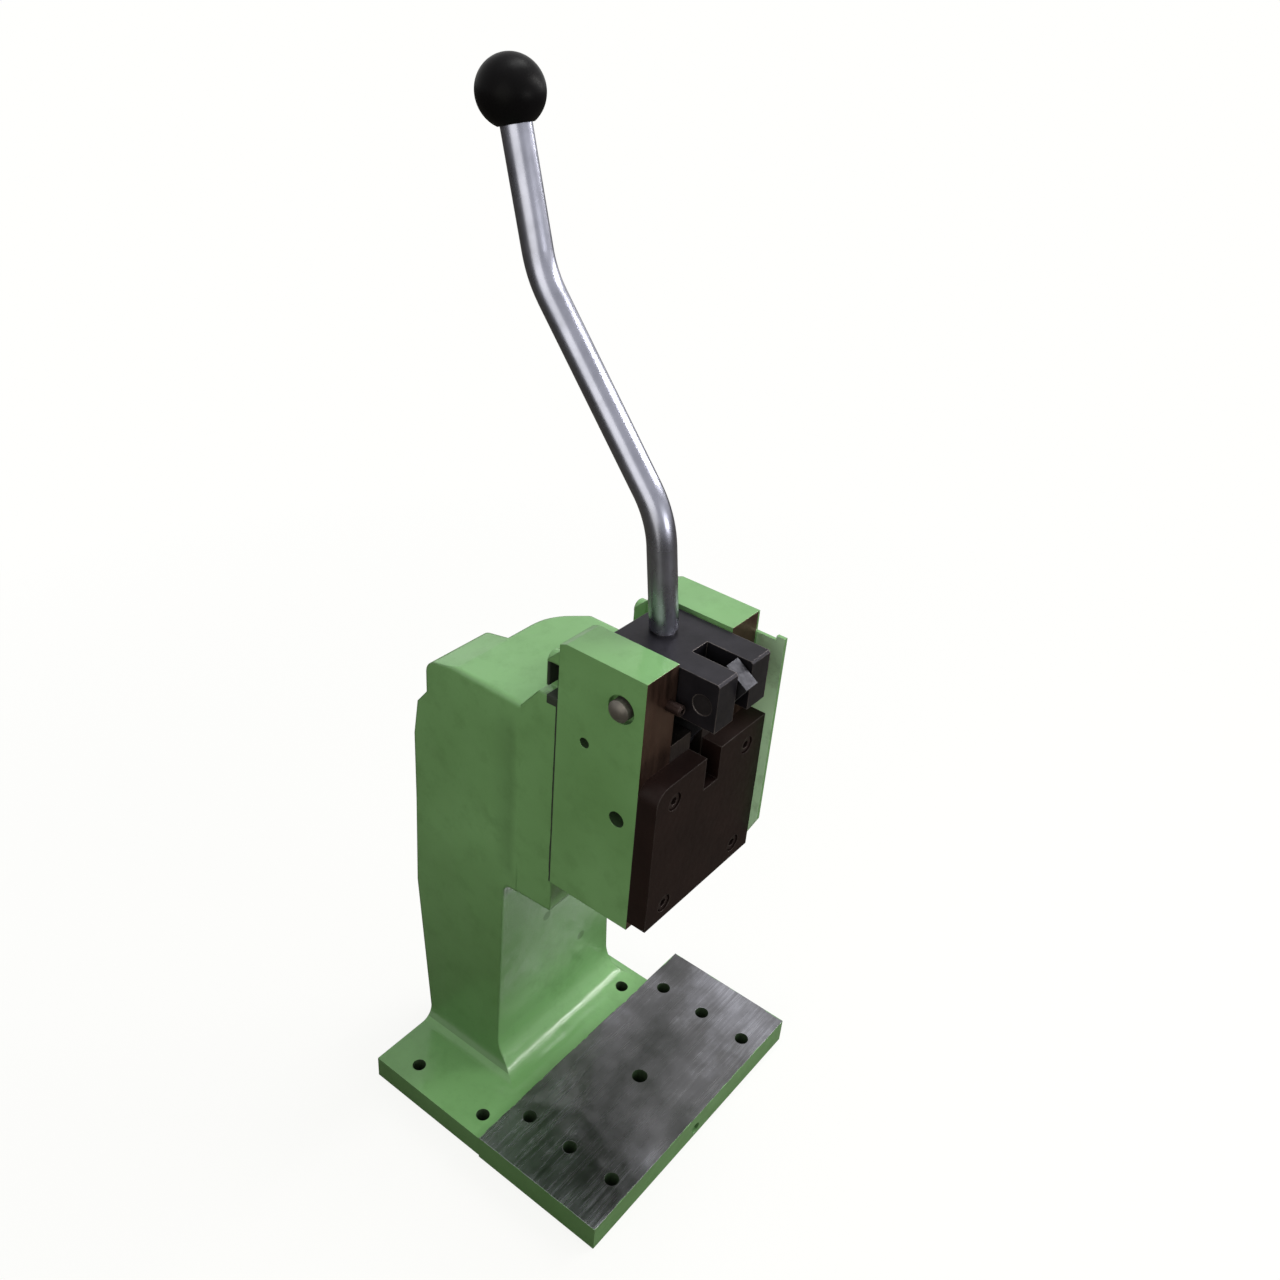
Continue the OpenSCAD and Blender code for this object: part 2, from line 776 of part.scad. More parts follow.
module front_plate_screws() {
    color([0.16, 0.14, 0.14])
        for (x = [-plate_screw_x, plate_screw_x], z = plate_screw_z)
            translate([x, plate_front + plate_screw_sunk, z])
                rotate([90, 0, 0])
                    cap_screw(screw_plate_d,
                        plate_t - screw_plate_d * head_share - plate_screw_sunk + screw_grip);
}

// Plate on the right cheek that reaches forward beside the front plate
module side_plate() {
    side_top = side_z + side_h;
    color([0.38, 0.61, 0.37])
        difference() {
            along_x(cheek_out, cheek_out + side_t)
                polygon([
                    [side_bevel_l - side_reach, side_z],
                    [head_front, side_z],
                    [head_front, side_top],
                    [side_step_l - side_reach, side_top],
                    [side_step_l - side_reach, side_top + side_step],
                    [-side_reach, side_top + side_step],
                    [-side_reach, side_z + side_bevel_h]]);
            at_side_screws()
                translate([0, 0, -over]) cylinder(d = screw_side_d, h = side_t + 2 * over);
        }
}

module side_plate_screws() {
    color([0.16, 0.16, 0.17])
        at_side_screws()
            translate([0, 0, side_t + screw_side_d * head_share])
                cap_screw(screw_side_d, side_t + side_grip);
}

// Pin through both cheeks and the lever block, with a domed left end
module pivot_pin() {
    r = pivot_d / 2;
    dome_r = (r * r + dome_h * dome_h) / (2 * dome_h);
    shaft_l = 2 * cheek_out - pivot_pin_in + pivot_proud;
    color([0.36, 0.34, 0.33])
        translate([cheek_out - pivot_pin_in, pivot[0], pivot[1]])
            rotate([0, -90, 0])
                rotate_extrude() {
                    square([r, shaft_l]);
                    intersection() {
                        translate([0, shaft_l]) square([r, dome_h]);
                        translate([0, shaft_l + dome_h - dome_r]) circle(dome_r);
                    }
                }
}

// Headless screw in the left cheek's front face that bears on the pivot pin
module pivot_lock_screw() {
    color([0.14, 0.14, 0.15])
        translate([lock_x, cheek_front - lock_out, pivot[1]])
            rotate([90, 0, 0])
                set_screw(set_screw_d - seat_clear, pivot[0] - pivot_d / 2 - cheek_front + lock_out);
}

// Headless screw in the table's front edge that clamps a tool in the middle hole
module anvil_clamp_screw() {
    color([0.3, 0.3, 0.31])
        translate([0, -centre_hole_d / 2 - clamp_back - anvil_screw_l, table_t - cross_hole_drop])
            rotate([90, 0, 0])
                set_screw(cross_hole_d - 2 * run_clear, anvil_screw_l);
}

// Ram with a fork for the link at its top and a tool bore at its lower end
module ram() {
    half = guide_half - ram_clear;
    deep = ram_d / 2 - ram_clear;
    slot = link_t / 2 + slot_clear;
    color([0.55, 0.55, 0.56])
        difference() {
            along_x(-half, half)
                polygon([
                    [-deep, ram_z + ram_bevel],
                    [ram_bevel - deep, ram_z],
                    [deep - ram_bevel, ram_z],
                    [deep, ram_z + ram_bevel],
                    [deep, ram_top],
                    [-deep, ram_top]]);
            translate([-slot, -ram_d, ram_pin_z - link_foot_r - eye_play - slot_floor])
                cube([2 * slot, 2 * ram_d, ram_l]);
            bar_x([0, ram_pin_z], ram_pin_d / 2, -half - over, half + over);
            translate([0, 0, ram_z - over]) cylinder(d = tool_bore_d, h = tool_bore_l + over);
            bar_y(0, ram_z + tool_screw_rise, set_screw_d / 2, -ram_d, 0);
        }
}

module ram_pin() {
    color([0.45, 0.45, 0.46])
        bar_x([0, ram_pin_z], ram_pin_d / 2 - seat_clear, ram_pin_in - guide_half, guide_half - ram_pin_in);
}

// Headless screw in the ram that clamps a tool
module tool_clamp_screw() {
    color([0.25, 0.25, 0.26])
        translate([0, -tool_bore_d / 2 - clamp_back - tool_screw_l, ram_z + tool_screw_rise])
            rotate([90, 0, 0])
                set_screw(set_screw_d - 2 * run_clear, tool_screw_l);
}

// Steel block that turns between the cheeks; its fork holds the link, its tail the rod
module lever_block() {
    half = block_w / 2;
    nose = pivot[0] - block_nose;
    tail = pivot[0] + block_tail;
    low = pivot[1] - block_low;
    top = pivot[1] + block_top;
    b = block_bevel;
    color([0.19, 0.19, 0.21])
        difference() {
            union() {
                along_x(-half, half)
                    polygon([
                        [nose, low],
                        [tail, low],
                        [tail, top - b],
                        [tail - b, top],
                        [nose + b, top],
                        [nose, top - b]]);
                bar_x(pivot, hub_r, -half, half);
            }
            translate([-fork_w / 2, nose - over, low - hub_r])
                cube([fork_w, block_nose - fork_root + over, block_top + block_low + 2 * hub_r]);
            bar_x(pivot, pivot_d / 2 + run_clear, -half - over, half + over);
            bar_x(crank, link_pin_d / 2, -half - over, half + over);
            translate([0, rod_foot[0], rod_foot[1]])
                rotate([-lean_low, 0, 0])
                    translate([0, 0, -stud_l]) cylinder(d = stud_d, h = stud_l + 2 * over);
            bar_y(0, rod_set_z, set_screw_d / 2, rod_foot[0], tail + over);
        }
}

// Headless screw in the lever block's tail that holds the rod
module rod_set_screw() {
    tail = pivot[0] + block_tail;
    reach = tail - rod_set_sunk - (rod_foot[0] + stud_d / 2 - stud_flat) - over;
    color([0.14, 0.14, 0.15])
        translate([0, tail - rod_set_sunk, rod_set_z])
            rotate([-90, 0, 0])
                set_screw(set_screw_d - seat_clear, reach);
}

// Straight stretch of the rod between two Y-Z points, run on into the bends at both ends
module rod_straight(p, q, before, after) {
    along = (q - p) / norm(q - p);
    start = p - before * along;
    translate([0, start[0], start[1]])
        rotate([-atan2(along[0], along[1]), 0, 0])
            cylinder(d = rod_d, h = norm(q - p) + before + after);
}

// Bend of the rod that starts at a Y-Z point and turns from one lean to another
module rod_bend(p, a, b) {
    side = b > a ? 1 : -1;
    c = p + side * rod_bend_r * [cos(a), -sin(a)];
    translate([0, c[0], c[1]])
        rotate([-a, 0, 0])
            rotate([90, 0, -90 * side])
                rotate_extrude(angle = abs(b - a))
                    translate([rod_bend_r, 0]) circle(d = rod_d - bend_thin);
}

// Bent handle rod with a stud at each end
module handle_rod() {
    reach_low = rod_bend_r * tan(abs(lean_mid - lean_low) / 2);
    reach_top = rod_bend_r * tan(abs(lean_mid - lean_top) / 2);
    low_in = rod_bend_low - reach_low * lean(lean_low);
    low_out = rod_bend_low + reach_low * lean(lean_mid);
    top_in = rod_bend_top - reach_top * lean(lean_mid);
    top_out = rod_bend_top + reach_top * lean(lean_top);
    color([0.75, 0.75, 0.77])
        difference() {
            union() {
                translate([0, rod_foot[0], rod_foot[1]])
                    rotate([-lean_low, 0, 0])
                        translate([0, 0, stud_low - stud_l])
                            cylinder(d = stud_d - seat_clear, h = stud_l + over);
                rod_straight(rod_foot + stud_low * lean(lean_low), low_in, 0, bend_in);
                rod_bend(low_in, lean_low, lean_mid);
                rod_straight(low_out, top_in, bend_in, bend_in);
                rod_bend(top_in, lean_mid, lean_top);
                rod_straight(top_out, rod_top, bend_in, 0);
                translate([0, rod_top[0], rod_top[1]])
                    rotate([-lean_top, 0, 0])
                        translate([0, 0, -over])
                            cylinder(d = knob_stud_d - seat_clear, h = knob_stud_l + over);
            }
            bar_y(0, rod_set_z, set_screw_d / 2, rod_foot[0] + stud_d / 2 - stud_flat,
                rod_foot[0] + stud_d);
        }
}

// Ball knob with a flat where the rod enters
module knob() {
    color([0.07, 0.06, 0.06])
        translate([0, knob_c[0], knob_c[1]])
            rotate([-lean_top, 0, 0])
                difference() {
                    sphere(d = knob_d);
                    translate([0, 0, -knob_d - knob_flat])
                        cylinder(d = 2 * knob_d, h = knob_d);
                    translate([0, 0, -knob_flat - over])
                        cylinder(d = knob_stud_d, h = knob_stud_l + 2 * over);
                }
}

module link_pin() {
    color([0.42, 0.4, 0.4])
        bar_x(crank, link_pin_d / 2 - seat_clear, link_pin_in - block_w / 2, block_w / 2 - link_pin_in);
}

// Link from the lever's fork down to the ram pin; its lower eye has play
module link() {
    color([0.7, 0.7, 0.72])
        translate([0, crank[0], crank[1]])
            rotate([link_lean, 0, 0])
                difference() {
                    union() {
                        translate([-link_t / 2, -link_w / 2, -link_l])
                            cube([link_t, link_w, link_l + link_head]);
                        bar_x([0, -link_l], link_foot_r, -link_t / 2, link_t / 2);
                    }
                    bar_x([0, 0], link_pin_d / 2 + run_clear, -link_t, link_t);
                    bar_x([0, -link_l], eye_r, -link_t, link_t);
                }
}

frame_casting();
left_cheek();
right_cheek();
lower_cheek_bolts();
upper_cheek_bolts();
cheek_dowels();
front_plate();
front_plate_screws();
side_plate();
side_plate_screws();
pivot_pin();
pivot_lock_screw();
anvil_clamp_screw();
ram();
ram_pin();
tool_clamp_screw();
lever_block();
rod_set_screw();
handle_rod();
knob();
link_pin();
link();
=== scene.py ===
import math

import bpy
from mathutils import Matrix, Vector

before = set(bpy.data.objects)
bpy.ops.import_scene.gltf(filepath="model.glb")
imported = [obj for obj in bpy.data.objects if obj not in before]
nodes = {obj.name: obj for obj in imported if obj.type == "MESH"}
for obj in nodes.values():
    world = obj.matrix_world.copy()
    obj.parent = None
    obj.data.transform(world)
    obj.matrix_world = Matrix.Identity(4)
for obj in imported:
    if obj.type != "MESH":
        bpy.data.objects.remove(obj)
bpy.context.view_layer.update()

MM = 0.001

# Camera, from the photograph: place in millimetres, turn in degrees, lens in pixels
IMAGE_PX = 1280
CAMERA_AT = (-578.1, -374.9, 891.1)
CAMERA_TURN = (57.984, -4.164, -51.997)
FOCAL_PX = 1235.96
CENTRE_PX = (642.73, 633.61)
SENSOR_MM = 36
NEAREST_M = 0.01

camera_data = bpy.data.cameras.new("camera")
camera_data.sensor_width = SENSOR_MM
camera_data.lens = FOCAL_PX / IMAGE_PX * SENSOR_MM
camera_data.shift_x = (IMAGE_PX / 2 - CENTRE_PX[0]) / IMAGE_PX
camera_data.shift_y = (CENTRE_PX[1] - IMAGE_PX / 2) / IMAGE_PX
camera_data.clip_start = NEAREST_M
camera = bpy.data.objects.new("camera", camera_data)
bpy.context.scene.collection.objects.link(camera)
camera.location = [v * MM for v in CAMERA_AT]
camera.rotation_euler = [math.radians(v) for v in CAMERA_TURN]
bpy.context.scene.camera = camera
bpy.context.scene.view_settings.view_transform = "Standard"

BEVEL_SAMPLES = 6
WEAR_GAIN = 9
WEAR_OFFSET = 8.8


class Shader:
    """A node material that is built up by calls."""

    def __init__(self, name):
        self.mat = bpy.data.materials.new(name)
        self.mat.use_nodes = True
        self.tree = self.mat.node_tree
        self.bsdf = self.tree.nodes["Principled BSDF"]

    def add(self, kind, **values):
        """A node; values that start with in_ go to its inputs."""
        n = self.tree.nodes.new(kind)
        for key, value in values.items():
            if key.startswith("in_"):
                n.inputs[key[3:]].default_value = value
            else:
                setattr(n, key, value)
        return n

    def link(self, a, b):
        self.tree.links.new(a, b)

    def coords(self, stretch):
        """Object coordinates in metres, scaled."""
        c = self.add("ShaderNodeTexCoord")
        m = self.add("ShaderNodeMapping", in_Scale=stretch)
        self.link(c.outputs["Object"], m.inputs["Vector"])
        return m.outputs["Vector"]

    def noise(self, scale, detail=4, rough=0.6, stretch=(1, 1, 1), distort=0.0):
        n = self.add("ShaderNodeTexNoise", in_Scale=scale, in_Detail=detail, in_Roughness=rough,
                     in_Distortion=distort)
        self.link(self.coords(stretch), n.inputs["Vector"])
        return n.outputs["Fac"]

    def ramp(self, value, *stops):
        """Colour ramp; each stop is (place, colour or grey)."""
        r = self.add("ShaderNodeValToRGB")
        elements = r.color_ramp.elements
        while len(elements) < len(stops):
            elements.new(0.5)
        for e, (at, colour) in zip(elements, stops):
            e.position = at
            c = colour if isinstance(colour, tuple) else (colour,) * 3
            e.color = (*c, 1)
        self.link(value, r.inputs["Fac"])
        return r.outputs["Color"]

    def math(self, op, a, b=None, c=None, clamp=False):
        n = self.add("ShaderNodeMath", operation=op, use_clamp=clamp)
        for i, v in enumerate((a, b, c)):
            if v is None:
                continue
            if isinstance(v, (int, float)):
                n.inputs[i].default_value = v
            else:
                self.link(v, n.inputs[i])
        return n.outputs[0]

    def mix(self, factor, a, b):
        """From a to b as the factor goes from 0 to 1; a and b are colours or sockets."""
        n = self.add("ShaderNodeMix", data_type="RGBA")
        self.link(factor, n.inputs["Factor"])
        for socket, v in ((n.inputs[6], a), (n.inputs[7], b)):
            if isinstance(v, tuple):
                socket.default_value = (*v, 1)
            else:
                self.link(v, socket)
        return n.outputs[2]

    def xyz(self, what="Object"):
        c = self.add("ShaderNodeTexCoord")
        s = self.add("ShaderNodeSeparateXYZ")
        self.link(c.outputs[what], s.inputs[0])
        return s.outputs

    def between(self, value, ends, soft):
        """1 where a socket in metres lies between two ends; ends and softness in millimetres."""
        low, high = (e * MM for e in ends)
        gain = 1 / (soft * MM)
        up = self.math("MULTIPLY_ADD", value, gain, -low * gain, clamp=True)
        down = self.math("MULTIPLY_ADD", value, -gain, high * gain, clamp=True)
        return self.math("MULTIPLY", up, down)

    def all_of(self, *masks):
        whole = masks[0]
        for m in masks[1:]:
            whole = self.math("MULTIPLY", whole, m)
        return whole

    def any_of(self, *masks):
        whole = masks[0]
        for m in masks[1:]:
            whole = self.math("MAXIMUM", whole, m)
        return whole

    def length(self, u, v):
        squares = self.math("ADD", self.math("MULTIPLY", u, u), self.math("MULTIPLY", v, v))
        return self.math("SQRT", squares)

    def disc(self, u, v, hole, margin=0.0, soft=0.3):
        """1 within a hole, given as centre and radius; u and v in metres, the rest in millimetres."""
        du = self.math("SUBTRACT", u, hole[0] * MM)
        dv = self.math("SUBTRACT", v, hole[1] * MM)
        far = self.length(du, dv)
        return self.math("MULTIPLY_ADD", far, -1 / (soft * MM), (hole[2] + margin) / soft, clamp=True)

    def edge_wear(self, radius):
        """About 1 on sharp edges and 0 on flats."""
        b = self.add("ShaderNodeBevel", samples=BEVEL_SAMPLES, in_Radius=radius)
        g = self.add("ShaderNodeNewGeometry")
        d = self.add("ShaderNodeVectorMath", operation="DOT_PRODUCT")
        self.link(b.outputs[0], d.inputs[0])
        self.link(g.outputs["True Normal"], d.inputs[1])
        return self.math("MULTIPLY_ADD", d.outputs["Value"], -WEAR_GAIN, WEAR_OFFSET, clamp=True)

    def surface(self, colour, rough, metal, bumps, round_edges):
        """Joins what is given to the shader; bumps are (height, strength, distance)."""
        for value, name in ((colour, "Base Color"), (rough, "Roughness"), (metal, "Metallic")):
            if isinstance(value, (int, float)):
                self.bsdf.inputs[name].default_value = value
            else:
                self.link(value, self.bsdf.inputs[name])
        normal = None
        if round_edges:
            bevel = self.add("ShaderNodeBevel", samples=BEVEL_SAMPLES)
            if isinstance(round_edges, float):
                bevel.inputs["Radius"].default_value = round_edges
            else:
                self.link(round_edges, bevel.inputs["Radius"])
            normal = bevel.outputs[0]
        for height, strength, distance in bumps:
            b = self.add("ShaderNodeBump", in_Strength=strength, in_Distance=distance)
            self.link(height, b.inputs["Height"])
            self.link(normal, b.inputs["Normal"])
            normal = b.outputs[0]
        if normal:
            self.link(normal, self.bsdf.inputs["Normal"])
        return self.mat


PAINT = (0.205, 0.425, 0.17)
PAINT_DARK = (0.155, 0.335, 0.12)
# Paler paint on the side plate's inner face: painted light
PALE_PAINTED_LIGHT = (0.64, 0.97, 0.64)
PAINT_GRIME = (0.12, 0.27, 0.09)
# Stains of filled holes, and painted shade on the casting's side
PAINT_STAIN_AND_SHADE = (0.05, 0.12, 0.035)
# Painted shade: near black inside holes, the next colour in the seam, pocket and step
HOLE_PAINTED_SHADE = (0.006, 0.008, 0.006)
SEAM_PAINTED_SHADE = (0.012, 0.02, 0.01)
# Roughness where painted shade darkens the paint
PAINTED_SHADE_ROUGH = (0.7, 0.7, 0.7)
# Table steel tones, which carry its grain as well as painted shade and light
TABLE_DARK = (0.045, 0.048, 0.045)
TABLE_MIDDLE = (0.12, 0.12, 0.125)
TABLE_LIGHT = (0.33, 0.33, 0.37)
TABLE_STROKE = (0.09, 0.088, 0.093)
WORN_EDGE = (0.34, 0.3, 0.29)

# A face counts as facing an axis when its normal's part along it is above this
FACING = 0.6

# Places on the real part that the looks follow, in millimetres; a hole is (across, along, radius)
TABLE_X = (-131.5, 131.5)
TABLE_Y = (-60.5, 60.4)
TABLE_Z = (23.5, 30)
TABLE_EDGE_SOFT = 0.6
TABLE_EDGE_WANDER = 6
TABLE_HOLES = [(x, y, 5.85) for x in (-90, 90) for y in (-43, 0, 43)] + [(0, 0, 6.5)]
BASE_HOLES = [(x, y, 5.5) for x in (-112, 68) for y in (74, 148)]
# The insides of these holes, the seam, the pocket and the step are darkened as painted shade
HOLES_BELOW_Z = 24.5
HOLE_MARGIN = 0.25
SEAM_X = 58
SEAM_Y = (54.5, 57.1)
SEAM_Z = (252, 416)
SEAM_WANDER = 2
POCKET_X = (40, 62.4)
POCKET_Y = (54, 66.2)
POCKET_Z = (409, 443)
POCKET_SOFT = 0.4
STEP_Y = (55, 70)
STEP_Z = (396, 417)
CHEEK_FRONT_Y = -15.5
CHEEK_OUT_X = 61
# Holes in the cheeks' outer faces, darkened inside as painted shade
CHEEK_HOLES = [(31, 394, 4), (0, 346, 6.3)]
CHEEK_HOLES_X = 62.4
CHEEK_HOLE_MARGIN = 0.3
FILLED_HOLES = [(37, 92, 5), (-10, 150, 5)]
FILLED_SOFT = 1.2
COLUMN_FRONT_Y = (95, 106)
# A band of painted shade across the head's side: its place, height and softness
SHADE_Y = 83
SHADE_Z = (226, 388)
SHADE_WANDER = 12
SHADE_RISE = 6.25
SHADE_FALL = 25
# Painted shade: faces turned to the left darken towards the foot from this height down
FOOT_SHADE_Z = 260
CAST_ABOVE_Z = 30
ROUND_MACHINED = 0.6
ROUND_CAST = 3

# How strongly the masks act
TABLE_CLOUD = 0.6
TABLE_CLOUD_BASE = 0.2
# Painted light on the table steel: towards its ends and towards its left
TABLE_ENDS_PAINTED_LIGHT = 1.5
TABLE_LEFT_PAINTED_LIGHT = 0.5
# Strength of the painted shade at the step, in the cheek holes and in the band on the head's side
STEP_SHADE = 0.9
CHEEK_HOLE_SHADE = 0.85
SHADE_DEPTH = 0.8
STAIN_AND_SHADE_DEPTH = 0.5


def paint(name, bare=None, painted_shade=None, painted_light=None, stain_and_shade=None, rounding=None):
    """Green enamel with faint mottling.

    Each option is a function, in order: unpainted steel, painted shade in dark places, painted light
    that makes a face paler, faint stains with painted shade, and the radius of the edges.
    """
    s = Shader(name)
    patches = s.noise(8, 3, 0.5)
    colour = s.mix(s.ramp(patches, (0.35, 0.0), (0.7, 1.0)), PAINT_DARK, PAINT)
    # Painted light: a paler coat on the given faces
    if painted_light:
        colour = s.mix(painted_light(s), colour, PALE_PAINTED_LIGHT)
    grime = s.ramp(s.noise(45, 6, 0.7), (0.5, 0.0), (0.76, 0.5))
    colour = s.mix(grime, colour, PAINT_GRIME)
    peel = s.noise(330, 2, 0.4)
    sag = s.noise(22, 2, 0.5)
    rough = s.ramp(s.noise(30, 4, 0.6), (0.3, 0.14), (0.75, 0.26))
    metal = 0.0
    # Stains, and painted shade on the casting's side
    if stain_and_shade:
        colour = s.mix(stain_and_shade(s), colour, PAINT_STAIN_AND_SHADE)
    if bare:
        mask, steel, steel_rough = bare(s)
        colour = s.mix(mask, colour, steel)
        rough = s.mix(mask, rough, steel_rough)
        metal = mask
    # Painted shade darkens the paint in the given places
    if painted_shade:
        mask, dark = painted_shade(s)
        colour = s.mix(mask, colour, dark)
        rough = s.mix(mask, rough, PAINTED_SHADE_ROUGH)
    return s.surface(colour, rough, metal, [(peel, 0.05, 0.0006), (sag, 0.3, 0.006)],
                     rounding(s) if rounding else 0.0008)


def ground_top(s):
    """Ground table top: above the painted sides, facing up, with painted shade in the middle."""
    at = s.xyz()
    wander = s.math("MULTIPLY_ADD", s.noise(60, 4), TABLE_EDGE_WANDER * MM, -TABLE_EDGE_WANDER / 2 * MM)
    mask = s.all_of(s.between(s.math("ADD", at[1], wander), TABLE_Y, TABLE_EDGE_SOFT),
                    s.between(s.math("ADD", at[0], wander), TABLE_X, TABLE_EDGE_SOFT),
                    s.math("GREATER_THAN", s.xyz("Normal")[2], FACING),
                    s.between(at[2], TABLE_Z, 0.1))
    # Painted light: the steel grows lighter towards both ends and towards the left, leaving painted shade
    # mid
    ends = s.math("MULTIPLY_ADD", s.math("ABSOLUTE", at[0]), TABLE_ENDS_PAINTED_LIGHT, TABLE_CLOUD_BASE)
    tone_and_light = s.math("MULTIPLY_ADD", s.noise(13, 5, 0.6, (1, 1.2, 1)), TABLE_CLOUD, ends)
    tone_and_light = s.math("MULTIPLY_ADD", at[0], -TABLE_LEFT_PAINTED_LIGHT, tone_and_light)
    strokes = s.noise(330, 4, 0.7, (0.05, 1, 1), 0.2)
    steel = s.ramp(tone_and_light, (0.46, TABLE_DARK), (0.6, TABLE_MIDDLE), (0.76, TABLE_LIGHT))
    steel = s.mix(s.ramp(strokes, (0.35, 0.4), (0.65, 0.0)), steel, TABLE_STROKE)
    rough = s.ramp(strokes, (0.3, 0.2), (0.7, 0.31))
    return mask, steel, rough


def casting_painted_shade(s):
    """Painted shade in the drilled holes, the seam behind the cheeks, and the pocket and step above it."""
    at = s.xyz()
    out = s.math("ABSOLUTE", at[0])
    drilled = s.any_of(*(s.disc(at[0], at[1], h, HOLE_MARGIN) for h in TABLE_HOLES + BASE_HOLES))
    drilled = s.all_of(drilled, s.math("LESS_THAN", at[2], HOLES_BELOW_Z * MM))
    side = s.math("GREATER_THAN", out, SEAM_X * MM)
    seam_back = s.math("MULTIPLY_ADD", s.noise(40, 3, 0.6, (0.2, 0.2, 1)), SEAM_WANDER * MM, SEAM_Y[1] * MM)
    seam = s.all_of(s.math("LESS_THAN", at[1], seam_back),
                    s.math("GREATER_THAN", at[1], SEAM_Y[0] * MM),
                    side, s.between(at[2], SEAM_Z, 1))
    pocket = s.all_of(s.between(at[1], POCKET_Y, POCKET_SOFT), s.between(at[2], POCKET_Z, POCKET_SOFT),
                      s.between(out, POCKET_X, POCKET_SOFT))
    step = s.all_of(s.between(at[1], STEP_Y, 3), s.between(at[2], STEP_Z, 2), side,
                    s.math("GREATER_THAN", s.xyz("Normal")[2], FACING / 2))
    # All of these are painted shade
    whole = s.any_of(drilled, seam, pocket, s.math("MULTIPLY", step, STEP_SHADE))
    return whole, s.mix(drilled, SEAM_PAINTED_SHADE, HOLE_PAINTED_SHADE)


def cheek_hole_shade(s):
    """Painted shade: dark insides of the holes in the cheek's outer face."""
    at = s.xyz()
    inside = s.math("LESS_THAN", s.math("ABSOLUTE", at[0]), CHEEK_HOLES_X * MM)
    bored = s.any_of(*(s.disc(at[1], at[2], h, CHEEK_HOLE_MARGIN) for h in CHEEK_HOLES))
    return s.math("MULTIPLY", s.all_of(bored, inside), CHEEK_HOLE_SHADE), HOLE_PAINTED_SHADE


def casting_stain_and_shade(s):
    """Filled holes on the column's front; painted shade in a band on the head's side and low on left faces.
    """
    at = s.xyz()
    filled = s.any_of(*(s.disc(at[0], at[2], h, soft=FILLED_SOFT) for h in FILLED_HOLES))
    filled = s.all_of(filled, s.between(at[1], COLUMN_FRONT_Y, 0.5))
    # Painted shade: a band across the head's side
    start = s.math("MULTIPLY_ADD", s.noise(14, 3), SHADE_WANDER * MM, SHADE_Y * MM)
    past = s.math("SUBTRACT", at[1], start)
    band = s.all_of(s.math("MULTIPLY_ADD", past, 1 / (SHADE_RISE * MM), 0, clamp=True),
                    s.math("MULTIPLY_ADD", past, -1 / (SHADE_FALL * MM), 1, clamp=True),
                    s.between(at[2], SHADE_Z, 20))
    # Painted shade: faces turned to the left get darker towards the foot
    foot = s.all_of(s.math("MULTIPLY_ADD", at[2], -1 / (FOOT_SHADE_Z * MM), 1, clamp=True),
                    s.math("LESS_THAN", s.xyz("Normal")[0], -FACING),
                    s.math("MULTIPLY_ADD", s.noise(9, 3), 0.8, 0.7))
    whole = s.any_of(filled, s.math("MULTIPLY", band, SHADE_DEPTH), foot)
    return s.math("MULTIPLY", whole, STAIN_AND_SHADE_DEPTH)


def casting_edges(s):
    """Rounding radius: small at the machined base, larger on the rough casting."""
    high = s.math("GREATER_THAN", s.xyz()[2], CAST_ABOVE_Z * MM)
    return s.math("MULTIPLY_ADD", high, (ROUND_CAST - ROUND_MACHINED) * MM, ROUND_MACHINED * MM)


def inner_face_painted_light(s):
    """The side plate's face towards the ram, made paler as painted light."""
    return s.math("LESS_THAN", s.xyz("Normal")[0], -FACING)


def bare_front(s):
    """Unpainted front edge of a cheek."""
    at = s.xyz()
    mask = s.all_of(s.math("LESS_THAN", s.xyz("Normal")[1], -FACING),
                    s.math("LESS_THAN", at[1], CHEEK_FRONT_Y * MM),
                    s.math("LESS_THAN", at[0], CHEEK_OUT_X * MM))
    stain = s.noise(35, 5, 0.6, (1, 1, 0.5))
    steel = s.ramp(stain, (0.3, (0.1, 0.055, 0.04)), (0.7, (0.22, 0.135, 0.105)))
    rough = s.ramp(s.noise(220, 2, 0.5, (1, 1, 0.08)), (0.3, 0.3), (0.7, 0.46))
    return mask, steel, rough


def dark_steel(name, colour, light, rough, edge, metal=0.5):
    """Blackened steel; edge is how bright its worn edges are."""
    s = Shader(name)
    mottle = s.noise(38, 5, 0.6)
    base = s.mix(s.ramp(mottle, (0.35, 0.0), (0.75, 1.0)), colour, light)
    wear = s.math("MULTIPLY", s.edge_wear(0.0011), s.ramp(s.noise(50, 3), (0.3, 0.15), (0.65, 1.0)))
    base = s.mix(s.math("MULTIPLY", wear, edge), base, WORN_EDGE)
    r = s.ramp(s.noise(260, 3, 0.6, (1, 1, 0.6)), (0.25, rough - 0.05), (0.75, rough + 0.1))
    s.bsdf.inputs["Specular IOR Level"].default_value = 0.15
    return s.surface(base, r, metal, [(s.noise(520, 2), 0.06, 0.0004)], 0.0007)


def bright_steel(name, colour, rough):
    """Ground or turned steel with fine upright strokes."""
    s = Shader(name)
    strokes = s.noise(420, 3, 0.6, (1, 1, 0.05))
    base = s.mix(s.ramp(strokes, (0.3, 0.0), (0.7, 0.6)), colour, tuple(c * 0.6 for c in colour))
    r = s.ramp(strokes, (0.3, rough - 0.06), (0.7, rough + 0.1))
    return s.surface(base, r, 1.0, [(strokes, 0.04, 0.0003)], 0.0006)


